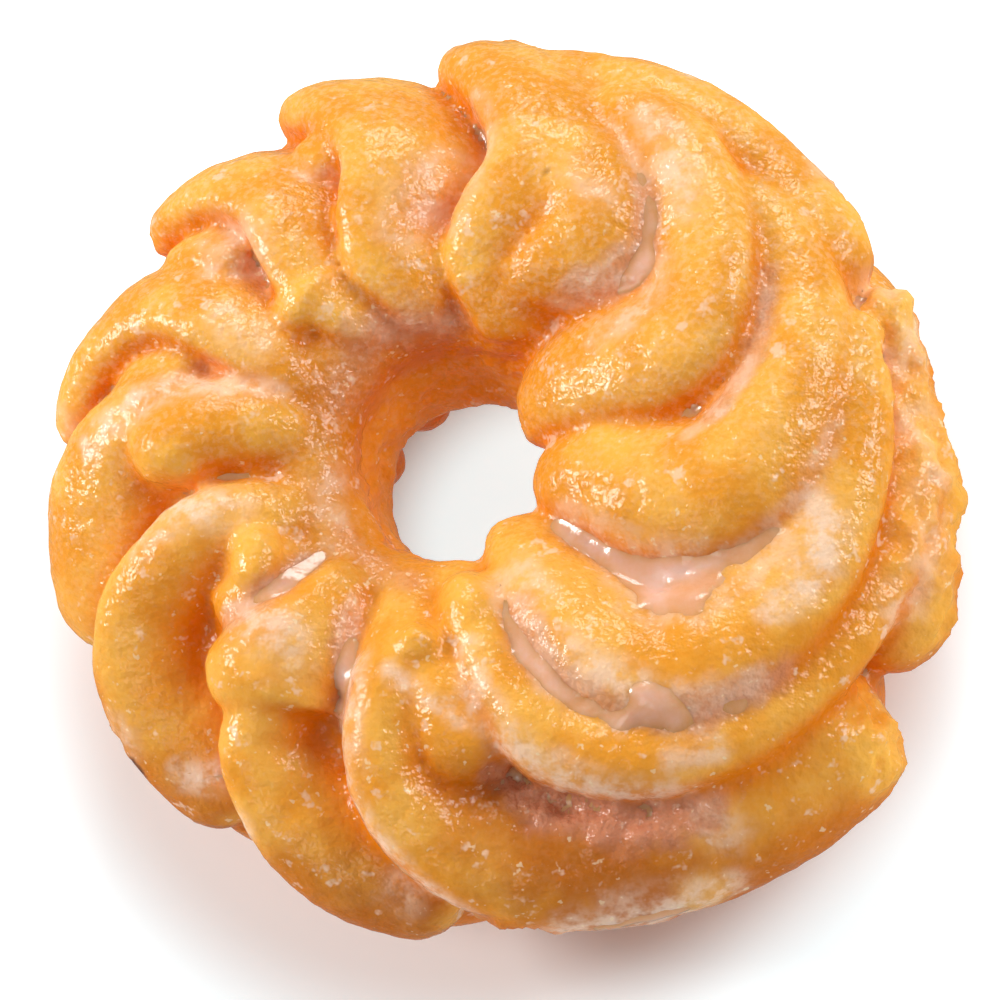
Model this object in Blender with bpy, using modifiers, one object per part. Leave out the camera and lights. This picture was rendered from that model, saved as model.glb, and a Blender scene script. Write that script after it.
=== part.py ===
"""A glazed French cruller: one fried ring of piped choux dough with twelve twisted flutes.

The ring lies flat with its hole along +Z and rests on z = 0. The section of the ring is an
ellipse, and every place on it is named by two angles in degrees: the angle round the ring,
counted from +X towards +Y, and the angle round the section, where 0 faces outwards, 90 up,
180 into the hole and -90 down. Each flute is a fat rib of dough that starts in the hole,
climbs over the top and turns along the outside of the ring.
"""
import math
from collections import namedtuple

import bmesh
import bpy
import numpy as np

MM = 0.001

# The ellipse that the tops of the flutes touch.
RING_RADIUS = 25.4 * MM
RING_CENTRE = (-1.65 * MM, 1.0 * MM)
HALF_WIDTH = 18.4 * MM
HALF_WIDTH_SWING = 1.3 * MM
HALF_HEIGHT = 16.0 * MM
MIDDLE_HEIGHT = 15.5 * MM

# The plain ring of dough under the flutes.
CORE_RADIUS = 22.8 * MM
CORE_HALF_WIDTH = 13.6 * MM
CORE_HALF_HEIGHT = 10.6 * MM

SECTION_POINTS = 24
LENGTH_POINTS = 48
VOXEL = 1.1 * MM
SMOOTH_ROUNDS = 3
KEPT_SHARE = 0.19

# A station is (angle round the ring, angle round the section, half-width, rise); the last two
# are in mm, and rise lifts the crest off the ellipse. thick is the half-thickness in mm, and
# lean pushes the crest over the edge that faces back along the ring, as a share of thick.
Flute = namedtuple("Flute", "lean thick stations")

FLUTES = {
    "a": Flute(-0.75, 7.5, ((66, 150, 3.4, 0), (77, 135, 4.6, 0), (84, 118, 5.4, 0.2),
                            (80, 102, 6.8, 0), (75, 86, 7.3, 0), (77, 70, 7.3, 0), (83, 52, 7.2, 0),
                            (89, 30, 7.2, 0), (93, 6, 6.8, -1))),
    "a_side": Flute(0.35, 6.5, ((83, 57, 4.5, -1.6), (76, 69, 5.4, -0.6), (67, 80, 6.0, -0.2),
                                (59, 90, 6.2, -0.1), (57, 101, 6.0, -0.1), (61, 112, 5.4, -0.2),
                                (69, 125, 4.6, -0.8), (76, 140, 3.8, -1.6))),
    "a_tip": Flute(0, 4.0, ((74, 112, 3.4, -0.6), (84, 116, 3.2, 0), (93, 119, 2.4, -0.2))),
    "b": Flute(0.35, 7.0, ((30, 176, 4.2, 0.8), (27, 160, 5.4, 1.4), (22, 142, 6.4, 1.2),
                           (18, 120, 7.2, 0.2), (18, 98, 7.0, 0), (27, 80, 6.0, 0), (40, 64, 5.4, 0),
                           (54, 53, 5.0, 0), (72, 46, 4.8, -1.5))),
    "c": Flute(0.1, 6.5, ((-14, 166, 4.0, 1.4), (-16, 149, 5.6, 1.4), (-17, 130, 6.4, 0.7),
                          (-18, 110, 7.2, 0), (-14, 88, 7.5, 0), (-3, 71, 7.0, 0), (7, 62, 6.2, 0),
                          (17, 55, 5.2, 0), (30, 51, 4.2, -0.5), (44, 53, 3.4, -1.5))),
    "c_tip": Flute(0, 3.0, ((356, 140, 2.6, -0.2), (352, 130, 3.2, 0.3), (348, 117, 2.8, -0.2))),
    "d": Flute(0.45, 6.5, ((-56, 164, 4.0, 1.8), (-63, 148, 4.8, 1.6), (-63, 126, 5.4, 0.3),
                           (-61, 106, 6.0, 0), (-58, 88, 6.2, 0), (-54, 73, 6.2, 0), (-46, 61, 6.0, 0),
                           (-35, 52, 5.6, 0), (-23, 46, 5.0, 0), (-9, 44, 4.6, 0), (5, 43, 4.2, 0),
                           (18, 42, 3.6, -1))),
    "d_tail": Flute(0, 5.0, ((19, 34, 3.6, -1.2), (28, 34, 4.2, 0), (42, 34, 4.2, -0.2), (56, 34, 4.2, 0.2),
                             (70, 34, 4.2, -0.6), (84, 28, 4.0, -1.5))),
    "e": Flute(0.1, 6.5, ((-91, 143, 3.0, -1.2), (-86, 132, 4.0, 1.0), (-83, 121, 4.2, 1.7),
                          (-81, 109, 3.8, 0.6), (-78, 94, 4.0, 0.3), (-72, 73, 4.8, 0.3),
                          (-63, 57, 4.8, 0.4), (-55, 47, 4.7, 0.5), (-46, 38, 4.5, 0.4),
                          (-37, 32, 4.0, 0.2), (-22, 23, 3.8, 0), (-8, 15, 3.6, 0), (2, 12, 3.4, -1))),
    "e_tail": Flute(0, 5.0, ((-14, 2, 4.0, 0.4), (-6, 4, 4.0, 0.4), (2, 10, 4.2, -1.2),
                             (12, 19, 3.4, -0.9), (19, 30, 3.6, 1.0))),
    "f": Flute(0.15, 7.5, ((-105, 116, 3.8, -0.4), (-105, 104, 4.6, 0.2), (-104, 90, 4.9, 0.2),
                           (-103, 77, 4.9, 0.1), (-101, 62, 4.9, 0), (-95, 44, 5.2, 0.2),
                           (-82, 20, 5.8, 1.2), (-64, 1, 6.8, 2.3), (-48, -6, 7.2, 3.8),
                           (-38, -8, 6.6, 4.2), (-31, -8, 4.0, 1))),
    "f_top": Flute(0, 5.0, ((-112, 152, 3.2, -0.6), (-107, 135, 4.2, -0.2), (-103, 120, 4.8, 0),
                            (-101, 107, 5.0, 0.3), (-101, 94, 3.8, -0.2))),
    "f_nub": Flute(0, 3.5, ((-99, 118, 2.2, 0.2), (-97, 109, 2.8, 1.4), (-95, 101, 2.4, 0.6))),
    "f_side": Flute(0, 5.0, ((262, 128, 3.0, -0.8), (266, 112, 4.0, -0.5), (269, 96, 4.6, -0.6),
                             (272, 80, 5.0, -1.0), (277, 64, 4.8, -1.8))),
    "f_tail": Flute(0, 5.5, ((352, 20, 4.0, -1.2), (347, 10, 5.0, 0.6), (340, -4, 5.6, 1.6),
                             (331, -18, 5.2, 0.8))),
    "g": Flute(0.2, 7.0, ((-124, 86, 3.8, -2.0), (-126.5, 72, 4.4, -1.2), (-126.5, 60, 4.4, -0.6),
                          (-122.5, 47, 4.5, -0.2), (-115, 30, 5.0, 0.3), (-105, 12, 5.8, 0.6),
                          (-92, -4, 6.0, 0.5))),
    "g_top": Flute(0.35, 6.0, ((-134, 142, 3.2, -0.4), (-131, 124, 4.4, 0), (-130, 108, 5.2, 0.2),
                               (-132, 92, 6.3, 0.4), (-131, 77, 6.9, 0.4), (-127, 63, 5.8, 0))),
    "h": Flute(0.2, 7.0, ((-156, 148, 3.6, 0), (-162, 128, 4.8, 0), (-165, 107, 5.2, 0),
                          (-164, 90, 4.9, 0.1), (-161, 74, 4.7, 0.2), (-157, 54, 4.7, 0.2),
                          (-149, 30, 4.9, 0.2), (-138, 12, 5.2, -0.4), (-126, -4, 5.2, -1.4))),
    "h_nub": Flute(0, 4.0, ((199, 114, 2.2, -0.4), (204, 112, 2.8, 0.6), (209, 108, 3.0, 0.8),
                            (214, 103, 2.6, 0.4), (218, 99, 2.0, -0.4))),
    "h_side": Flute(0, 5.0, ((212, 136, 3.0, -1.2), (214, 118, 3.6, -1.2), (215, 100, 3.8, -1.2),
                             (214, 82, 3.6, -1.6))),
    "i": Flute(-0.2, 5.5, ((165, 142, 3.2, -0.6), (169, 130, 4.4, 0.4), (171, 117, 5.0, 0.5),
                           (172, 105, 5.2, 0.4), (174, 94, 5.2, 0.7), (178, 85, 5.0, 1.2),
                           (181, 80, 4.4, 1.2), (184, 76, 3.4, 0.4))),
    "i_out": Flute(0.3, 6.5, ((166, 96, 4.4, -0.8), (168, 82, 5.2, -0.2), (170, 68, 5.6, 0),
                              (175, 52, 6.0, 0.3), (182, 32, 6.4, 0.4), (191, 11, 6.6, 0.2),
                              (199, -8, 6.0, 0.0))),
    "j": Flute(-0.65, 6.5, ((157, 142, 3.2, -0.4), (155, 122, 4.2, 0), (153, 100, 4.8, 0),
                            (152, 78, 5.0, 0), (154, 60, 5.2, 0.2), (160, 42, 5.6, 0.6),
                            (167, 24, 6.0, 0.6), (172, 2, 6.0, 0))),
    "j_floor": Flute(0, 4.5, ((170, 50, 3.6, -1.8), (166, 62, 4.0, -1.5), (162, 76, 3.8, -1.5),
                              (158, 92, 3.0, -1.9))),
    "k": Flute(-0.75, 6.5, ((118, 144, 3.4, -1.0), (128, 128, 4.4, 0), (133, 111, 4.4, 0.2),
                            (131, 94, 4.6, 0), (128, 74, 4.9, 0), (131, 52, 5.3, 0.3),
                            (137, 28, 6.0, 0.4), (141, 4, 6.0, 0.1))),
    "k_floor": Flute(0, 4.5, ((146, 42, 3.6, -1.8), (141, 58, 4.0, -1.5), (138, 70, 3.8, -1.5),
                              (138, 85, 3.0, -1.9))),
    "k_nub": Flute(0, 3.5, ((131, 99, 3.0, -0.2), (132, 109, 3.9, 1.1), (129, 119, 3.6, 0.2))),
    "l": Flute(-0.75, 7.0, ((97, 146, 3.4, -0.6), (106, 131, 4.6, 0.4), (113, 114, 5.0, 0.6),
                            (111, 96, 5.2, 0), (106, 78, 5.6, 0), (108, 58, 5.8, 0), (113, 32, 6.2, 0.5),
                            (117, 6, 6.0, 0.1))),
    "l_floor": Flute(0, 4.5, ((117, 48, 3.4, -1.8), (114, 62, 3.6, -1.5), (112, 76, 3.0, -1.9))),
    "l_tip": Flute(0, 3.5, ((103, 104, 3.0, -0.4), (112, 107, 2.8, 0.1), (119, 108, 2.0, -0.2))),
    "rim": Flute(0, 4.5, ((56, 150, 3.5, -1), (85, 141, 4.6, -1.3), (115, 137, 5.0, -1.2),
                          (145, 138, 5.2, -0.4), (175, 142, 5.2, 0.4), (205, 144, 5.0, 0.4),
                          (235, 142, 4.6, 0), (262, 140, 4.4, 0.4), (290, 142, 3.8, 0.2))),
    "wall": Flute(0, 5.0, ((20, 196, 4.0, -1.6), (50, 186, 4.6, -1.4), (95, 190, 4.6, -1.2),
                           (140, 184, 4.8, -1.6), (185, 192, 4.6, -1.4), (230, 186, 4.6, -1.6),
                           (270, 194, 4.4, -1.0), (310, 188, 4.6, -1.4), (350, 194, 4.0, -1.6))),
}

UNDER_STEP = 30
UNDER_START = 12
UNDER_RISES = (-2, -2.5, -2, -1.5, -1, -1, -1.5, -2.5, -1, 0, 1.5, -1)


def clear_scene():
    for item in list(bpy.data.objects):
        bpy.data.objects.remove(item, do_unlink=True)


def on_ring(ring_angle, section_angle):
    """Points on the ellipse that the flutes touch, and the directions straight out of it."""
    ring = np.radians(ring_angle)
    section = np.radians(section_angle)
    half_width = HALF_WIDTH + HALF_WIDTH_SWING * np.cos(ring)
    outwards = np.stack([np.cos(ring), np.sin(ring), np.zeros_like(ring)], axis=-1)
    up = np.array([0.0, 0.0, 1.0])
    distance = RING_RADIUS + half_width * np.cos(section)
    height = MIDDLE_HEIGHT + HALF_HEIGHT * np.sin(section)
    points = outwards * distance[..., None] + up * height[..., None]
    points[..., 0] += RING_CENTRE[0]
    points[..., 1] += RING_CENTRE[1]
    normals = outwards * (np.cos(section) / half_width)[..., None]
    normals = normals + up * (np.sin(section) / HALF_HEIGHT)[..., None]
    return points, unit(normals)


def unit(vectors):
    return vectors / np.linalg.norm(vectors, axis=-1, keepdims=True)


def smooth_through(stations, count):
    """Values read from a Catmull-Rom curve through the stations, closer together at its ends."""
    stations = np.array(stations, float)
    padded = np.vstack([2 * stations[0] - stations[1], stations, 2 * stations[-1] - stations[-2]])
    share = (1 - np.cos(np.linspace(0, math.pi, count))) / 2
    place = share * (len(stations) - 1)
    index = np.minimum(place.astype(int), len(stations) - 2)
    t = (place - index)[:, None]
    before, here, after, beyond = (padded[index + step] for step in range(4))
    return 0.5 * (2 * here + (after - before) * t
                  + (2 * before - 5 * here + 4 * after - beyond) * t ** 2
                  + (3 * here - before - 3 * after + beyond) * t ** 3)


def flute_mesh(name, flute):
    """A rib with elliptical sections and round ends, whose crest follows its stations."""
    values = smooth_through(flute.stations, LENGTH_POINTS)
    crest, normal = on_ring(values[:, 0], values[:, 1])
    along = unit(np.gradient(crest, axis=0))
    side = unit(np.cross(along, normal))
    normal = np.cross(side, along)
    travelled = np.concatenate([[0], np.cumsum(np.linalg.norm(np.diff(crest, axis=0), axis=1))])
    wide = values[:, 2] * MM
    thick = np.full_like(wide, flute.thick * MM)
    to_end = np.minimum(travelled, travelled[-1] - travelled)
    roundness = np.sqrt(1 - np.clip(1 - to_end / wide, 0, 1) ** 2)
    wide = wide * roundness
    thick = thick * roundness
    lean = side * flute.lean
    centre = crest + normal * (values[:, 3:4] - flute.thick) * MM - lean * flute.thick * MM
    turn = np.linspace(0, 2 * math.pi, SECTION_POINTS, endpoint=False)
    rings = (centre[:, None] + side[:, None] * (wide[:, None] * np.cos(turn))[..., None]
             + (normal + lean)[:, None] * (thick[:, None] * np.sin(turn))[..., None])[1:-1]
    vertices = rings.reshape(-1, 3).tolist() + [centre[0].tolist(), centre[-1].tolist()]
    count = len(rings)
    faces = []
    for row in range(count - 1):
        for column in range(SECTION_POINTS):
            following = (column + 1) % SECTION_POINTS
            faces.append((row * SECTION_POINTS + column, row * SECTION_POINTS + following,
                          (row + 1) * SECTION_POINTS + following, (row + 1) * SECTION_POINTS + column))
    start = count * SECTION_POINTS
    for column in range(SECTION_POINTS):
        following = (column + 1) % SECTION_POINTS
        faces.append((start, following, column))
        last = (count - 1) * SECTION_POINTS
        faces.append((start + 1, last + column, last + following))
    mesh = bpy.data.meshes.new(name)
    mesh.from_pydata(vertices, [], faces)
    mesh.update()
    return mesh


def lower_flutes():
    """The flutes of the outside and the underside, which the twist carries on round the ring."""
    flutes = {}
    for number, rise in enumerate(UNDER_RISES):
        start = UNDER_STEP * number + UNDER_START
        flutes[f"under_{number}"] = Flute(0.1, 6.0, (
            (start, 8, 4.0, rise - 1), (start + 6, -14, 5.8, rise), (start + 13, -40, 6.2, rise / 2),
            (start + 19, -72, 6.0, 0), (start + 23, -105, 5.6, 0), (start + 25, -140, 4.2, -0.4),
            (start + 26, -166, 3.2, -1.6)))
    return flutes


def core_mesh():
    bpy.ops.mesh.primitive_torus_add(major_segments=96, minor_segments=32,
                                     major_radius=CORE_RADIUS, minor_radius=CORE_HALF_WIDTH)
    core = bpy.context.object
    mesh = core.data
    for vertex in mesh.vertices:
        x, y, z = vertex.co
        reach = math.hypot(x, y)
        swing = 1 + HALF_WIDTH_SWING / CORE_HALF_WIDTH * x / reach
        scaled = CORE_RADIUS + (reach - CORE_RADIUS) * swing
        vertex.co.x = x / reach * scaled + RING_CENTRE[0]
        vertex.co.y = y / reach * scaled + RING_CENTRE[1]
        vertex.co.z = z * CORE_HALF_HEIGHT / CORE_HALF_WIDTH + MIDDLE_HEIGHT
    bpy.data.objects.remove(core)
    return mesh


def join_meshes(name, meshes):
    joined = bmesh.new()
    for mesh in meshes:
        joined.from_mesh(mesh)
    result = bpy.data.meshes.new(name)
    joined.to_mesh(result)
    joined.free()
    return result


def fried_dough():
    material = bpy.data.materials.new("fried_choux_dough")
    material.use_nodes = True
    shader = material.node_tree.nodes["Principled BSDF"]
    shader.inputs["Base Color"].default_value = (0.78, 0.40, 0.09, 1)
    shader.inputs["Roughness"].default_value = 0.35
    shader.inputs["Metallic"].default_value = 0.0
    return material


def floor_cutter(collection):
    bpy.ops.mesh.primitive_cube_add(size=0.2, location=(0, 0, -0.1))
    cutter = bpy.context.object
    cutter.name = "floor_cutter"
    cutter.hide_render = True
    cutter.display_type = "WIRE"
    for owner in list(cutter.users_collection):
        owner.objects.unlink(cutter)
    collection.objects.link(cutter)
    return cutter


def main():
    clear_scene()
    pieces = bpy.data.collections.new("cruller")
    cutters = bpy.data.collections.new("cutters")
    bpy.context.scene.collection.children.link(pieces)
    bpy.context.scene.collection.children.link(cutters)

    meshes = [core_mesh()]
    for name, flute in {**FLUTES, **lower_flutes()}.items():
        meshes.append(flute_mesh(name, flute))
    cruller = bpy.data.objects.new("cruller", join_meshes("cruller", meshes))
    cruller.data.materials.append(fried_dough())
    pieces.objects.link(cruller)

    remesh = cruller.modifiers.new("one skin", "REMESH")
    remesh.mode = "VOXEL"
    remesh.voxel_size = VOXEL
    remesh.use_smooth_shade = True
    smooth = cruller.modifiers.new("soften", "SMOOTH")
    smooth.iterations = SMOOTH_ROUNDS
    fewer = cruller.modifiers.new("fewer faces", "DECIMATE")
    fewer.ratio = KEPT_SHARE
    flat = cruller.modifiers.new("flat spots to rest on", "BOOLEAN")
    flat.operation = "DIFFERENCE"
    flat.object = floor_cutter(cutters)


if __name__ == "__main__":
    main()
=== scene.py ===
"""A glazed French cruller on a pale table: the looks built around its fixed frame.

The ring lies flat with its hole along +Z and rests on z = 0. The section of the ring is an
ellipse, and every place on it is named by two angles in degrees: the angle round the ring,
counted from +X towards +Y, and the angle round the section, where 0 faces outwards, 90 up,
180 into the hole and -90 down.
"""

import math
from collections import namedtuple

import bmesh
import bpy
import numpy as np
from bpy.props import FloatProperty, FloatVectorProperty, IntProperty, PointerProperty
from mathutils import Matrix, Vector, noise


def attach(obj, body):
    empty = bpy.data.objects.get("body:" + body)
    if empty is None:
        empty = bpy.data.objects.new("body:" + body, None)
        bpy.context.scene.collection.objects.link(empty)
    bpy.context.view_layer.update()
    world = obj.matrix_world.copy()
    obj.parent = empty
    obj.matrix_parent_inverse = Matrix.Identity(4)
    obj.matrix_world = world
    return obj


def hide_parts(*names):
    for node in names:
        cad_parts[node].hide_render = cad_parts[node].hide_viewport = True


bl_info = {
    "name": "Glazed French Cruller",
    "version": (1, 0, 0),
    "blender": (4, 5, 0),
    "location": "3D View > Sidebar > Cruller",
    "description": "Builds a glazed French cruller, its sugar glaze and a table to show it on",
    "category": "Add Mesh",
}

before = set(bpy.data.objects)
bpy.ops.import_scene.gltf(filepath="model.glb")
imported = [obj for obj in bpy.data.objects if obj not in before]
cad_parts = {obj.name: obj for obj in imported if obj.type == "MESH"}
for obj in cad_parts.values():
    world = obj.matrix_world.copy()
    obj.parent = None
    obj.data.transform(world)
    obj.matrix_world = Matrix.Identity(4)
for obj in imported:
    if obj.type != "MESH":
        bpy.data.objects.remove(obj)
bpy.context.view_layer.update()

MM = 0.001

# The ellipse that the tops of the flutes touch. It is wider by the swing towards +X and
# narrower by it towards -X.
RING_RADIUS = 25.4 * MM
RING_CENTRE = (-1.65 * MM, 1.0 * MM)
HALF_WIDTH = 18.4 * MM
HALF_WIDTH_SWING = 1.3 * MM
HALF_HEIGHT = 16.0 * MM
MIDDLE_HEIGHT = 15.5 * MM

# The plain ring of dough under the flutes.
CORE_RADIUS = 22.8 * MM
CORE_HALF_WIDTH = 13.6 * MM
CORE_HALF_HEIGHT = 10.6 * MM

# Points round each section of a flute, and sections along it.
SECTION_POINTS = 24
LENGTH_POINTS = 48

# How often the skin of the dough is averaged to find how deep each place lies in a crevice,
# and to find the level of the runs of glaze.
HOLLOW_ROUNDS = 90
RUN_ROUNDS = 8

# Islands of glaze with fewer faces than this are left out.
FEWEST_FACES = 60

# A station is (angle round the ring, angle round the section, half-width, rise); the last two
# are in mm, and rise lifts the crest off the ellipse. thick is the half-thickness in mm, and
# lean pushes the crest over the edge that faces back along the ring, as a share of thick.
Flute = namedtuple("Flute", "lean thick stations")

FLUTES = {
    "a": Flute(-0.75, 7.5, ((66, 150, 3.4, 0), (77, 135, 4.6, 0), (84, 118, 5.4, 0.2),
                            (80, 102, 6.8, 0), (75, 86, 7.3, 0), (77, 70, 7.3, 0),
                            (83, 52, 7.2, 0), (89, 30, 7.2, 0), (93, 6, 6.8, -1))),
    "a_side": Flute(0.35, 6.5, ((83, 57, 4.5, -1.6), (76, 69, 5.4, -0.6), (67, 80, 6.0, -0.2),
                                (59, 90, 6.2, -0.1), (57, 101, 6.0, -0.1), (61, 112, 5.4, -0.2),
                                (69, 125, 4.6, -0.8), (76, 140, 3.8, -1.6))),
    "a_tip": Flute(0, 4.0, ((74, 112, 3.4, -0.6), (84, 116, 3.2, 0), (93, 119, 2.4, -0.2))),
    "b": Flute(0.35, 7.0, ((30, 176, 4.2, 0.8), (27, 160, 5.4, 1.4), (22, 142, 6.4, 1.2),
                           (18, 120, 7.2, 0.2), (18, 98, 7.0, 0), (27, 80, 6.0, 0),
                           (40, 64, 5.4, 0), (54, 53, 5.0, 0), (72, 46, 4.8, -1.5))),
    "c": Flute(0.1, 6.5, ((-14, 166, 4.0, 1.4), (-16, 149, 5.6, 1.4), (-17, 130, 6.4, 0.7),
                          (-18, 110, 7.2, 0), (-14, 88, 7.5, 0), (-3, 71, 7.0, 0),
                          (7, 62, 6.2, 0), (17, 55, 5.2, 0), (30, 51, 4.2, -0.5),
                          (44, 53, 3.4, -1.5))),
    "c_tip": Flute(0, 3.0, ((356, 140, 2.6, -0.2), (352, 130, 3.2, 0.3), (348, 117, 2.8, -0.2))),
    "d": Flute(0.45, 6.5, ((-56, 164, 4.0, 1.8), (-63, 148, 4.8, 1.6), (-63, 126, 5.4, 0.3),
                           (-61, 106, 6.0, 0), (-58, 88, 6.2, 0), (-54, 73, 6.2, 0),
                           (-46, 61, 6.0, 0), (-35, 52, 5.6, 0), (-23, 46, 5.0, 0),
                           (-9, 44, 4.6, 0), (5, 43, 4.2, 0), (18, 42, 3.6, -1))),
    "d_tail": Flute(0, 5.0, ((19, 34, 3.6, -1.2), (28, 34, 4.2, 0), (42, 34, 4.2, -0.2),
                             (56, 34, 4.2, 0.2), (70, 34, 4.2, -0.6), (84, 28, 4.0, -1.5))),
    "e": Flute(0.1, 6.5, ((-91, 143, 3.0, -1.2), (-86, 132, 4.0, 1.0), (-83, 121, 4.2, 1.7),
                          (-81, 109, 3.8, 0.6), (-78, 94, 4.0, 0.3), (-72, 73, 4.8, 0.3),
                          (-63, 57, 4.8, 0.4), (-55, 47, 4.7, 0.5), (-46, 38, 4.5, 0.4),
                          (-37, 32, 4.0, 0.2), (-22, 23, 3.8, 0), (-8, 15, 3.6, 0),
                          (2, 12, 3.4, -1))),
    "e_tail": Flute(0, 5.0, ((-14, 2, 4.0, 0.4), (-6, 4, 4.0, 0.4), (2, 10, 4.2, -1.2),
                             (12, 19, 3.4, -0.9), (19, 30, 3.6, 1.0))),
    "f": Flute(0.15, 7.5, ((-105, 116, 3.8, -0.4), (-105, 104, 4.6, 0.2), (-104, 90, 4.9, 0.2),
                           (-103, 77, 4.9, 0.1), (-101, 62, 4.9, 0), (-95, 44, 5.2, 0.2),
                           (-82, 20, 5.8, 1.2), (-64, 1, 6.8, 2.3), (-48, -6, 7.2, 3.8),
                           (-38, -8, 6.6, 4.2), (-31, -8, 4.0, 1))),
    "f_top": Flute(0, 5.0, ((-112, 152, 3.2, -0.6), (-107, 135, 4.2, -0.2), (-103, 120, 4.8, 0),
                            (-101, 107, 5.0, 0.3), (-101, 94, 3.8, -0.2))),
    "f_nub": Flute(0, 3.5, ((-99, 118, 2.2, 0.2), (-97, 109, 2.8, 1.4), (-95, 101, 2.4, 0.6))),
    "f_side": Flute(0, 5.0, ((262, 128, 3.0, -0.8), (266, 112, 4.0, -0.5), (269, 96, 4.6, -0.6),
                             (272, 80, 5.0, -1.0), (277, 64, 4.8, -1.8))),
    "f_tail": Flute(0, 5.5, ((352, 20, 4.0, -1.2), (347, 10, 5.0, 0.6), (340, -4, 5.6, 1.6),
                             (331, -18, 5.2, 0.8))),
    "g": Flute(0.2, 7.0, ((-124, 86, 3.8, -2.0), (-126.5, 72, 4.4, -1.2), (-126.5, 60, 4.4, -0.6),
                          (-122.5, 47, 4.5, -0.2), (-115, 30, 5.0, 0.3), (-105, 12, 5.8, 0.6),
                          (-92, -4, 6.0, 0.5))),
    "g_top": Flute(0.35, 6.0, ((-134, 142, 3.2, -0.4), (-131, 124, 4.4, 0), (-130, 108, 5.2, 0.2),
                               (-132, 92, 6.3, 0.4), (-131, 77, 6.9, 0.4), (-127, 63, 5.8, 0))),
    "h": Flute(0.2, 7.0, ((-156, 148, 3.6, 0), (-162, 128, 4.8, 0), (-165, 107, 5.2, 0),
                          (-164, 90, 4.9, 0.1), (-161, 74, 4.7, 0.2), (-157, 54, 4.7, 0.2),
                          (-149, 30, 4.9, 0.2), (-138, 12, 5.2, -0.4), (-126, -4, 5.2, -1.4))),
    "h_nub": Flute(0, 4.0, ((199, 114, 2.2, -0.4), (204, 112, 2.8, 0.6), (209, 108, 3.0, 0.8),
                            (214, 103, 2.6, 0.4), (218, 99, 2.0, -0.4))),
    "h_side": Flute(0, 5.0, ((212, 136, 3.0, -1.2), (214, 118, 3.6, -1.2), (215, 100, 3.8, -1.2),
                             (214, 82, 3.6, -1.6))),
    "i": Flute(-0.2, 5.5, ((165, 142, 3.2, -0.6), (169, 130, 4.4, 0.4), (171, 117, 5.0, 0.5),
                           (172, 105, 5.2, 0.4), (174, 94, 5.2, 0.7), (178, 85, 5.0, 1.2),
                           (181, 80, 4.4, 1.2), (184, 76, 3.4, 0.4))),
    "i_out": Flute(0.3, 6.5, ((166, 96, 4.4, -0.8), (168, 82, 5.2, -0.2), (170, 68, 5.6, 0),
                              (175, 52, 6.0, 0.3), (182, 32, 6.4, 0.4), (191, 11, 6.6, 0.2),
                              (199, -8, 6.0, 0.0))),
    "j": Flute(-0.65, 6.5, ((157, 142, 3.2, -0.4), (155, 122, 4.2, 0), (153, 100, 4.8, 0),
                            (152, 78, 5.0, 0), (154, 60, 5.2, 0.2), (160, 42, 5.6, 0.6),
                            (167, 24, 6.0, 0.6), (172, 2, 6.0, 0))),
    "j_floor": Flute(0, 4.5, ((170, 50, 3.6, -1.8), (166, 62, 4.0, -1.5), (162, 76, 3.8, -1.5),
                              (158, 92, 3.0, -1.9))),
    "k": Flute(-0.75, 6.5, ((118, 144, 3.4, -1.0), (128, 128, 4.4, 0), (133, 111, 4.4, 0.2),
                            (131, 94, 4.6, 0), (128, 74, 4.9, 0), (131, 52, 5.3, 0.3),
                            (137, 28, 6.0, 0.4), (141, 4, 6.0, 0.1))),
    "k_floor": Flute(0, 4.5, ((146, 42, 3.6, -1.8), (141, 58, 4.0, -1.5), (138, 70, 3.8, -1.5),
                              (138, 85, 3.0, -1.9))),
    "k_nub": Flute(0, 3.5, ((131, 99, 3.0, -0.2), (132, 109, 3.9, 1.1), (129, 119, 3.6, 0.2))),
    "l": Flute(-0.75, 7.0, ((97, 146, 3.4, -0.6), (106, 131, 4.6, 0.4), (113, 114, 5.0, 0.6),
                            (111, 96, 5.2, 0), (106, 78, 5.6, 0), (108, 58, 5.8, 0),
                            (113, 32, 6.2, 0.5), (117, 6, 6.0, 0.1))),
    "l_floor": Flute(0, 4.5, ((117, 48, 3.4, -1.8), (114, 62, 3.6, -1.5), (112, 76, 3.0, -1.9))),
    "l_tip": Flute(0, 3.5, ((103, 104, 3.0, -0.4), (112, 107, 2.8, 0.1), (119, 108, 2.0, -0.2))),
    "rim": Flute(0, 4.5, ((56, 150, 3.5, -1), (85, 141, 4.6, -1.3), (115, 137, 5.0, -1.2),
                          (145, 138, 5.2, -0.4), (175, 142, 5.2, 0.4), (205, 144, 5.0, 0.4),
                          (235, 142, 4.6, 0), (262, 140, 4.4, 0.4), (290, 142, 3.8, 0.2))),
    "wall": Flute(0, 5.0, ((20, 196, 4.0, -1.6), (50, 186, 4.6, -1.4), (95, 190, 4.6, -1.2),
                           (140, 184, 4.8, -1.6), (185, 192, 4.6, -1.4), (230, 186, 4.6, -1.6),
                           (270, 194, 4.4, -1.0), (310, 188, 4.6, -1.4), (350, 194, 4.0, -1.6))),
}

# The lower flutes: degrees from one to the next, where the first one starts, and the rise of
# each in mm.
UNDER_STEP = 30
UNDER_START = 12
UNDER_RISES = (-2, -2.5, -2, -1.5, -1, -1, -1.5, -2.5, -1, 0, 1.5, -1)

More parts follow.
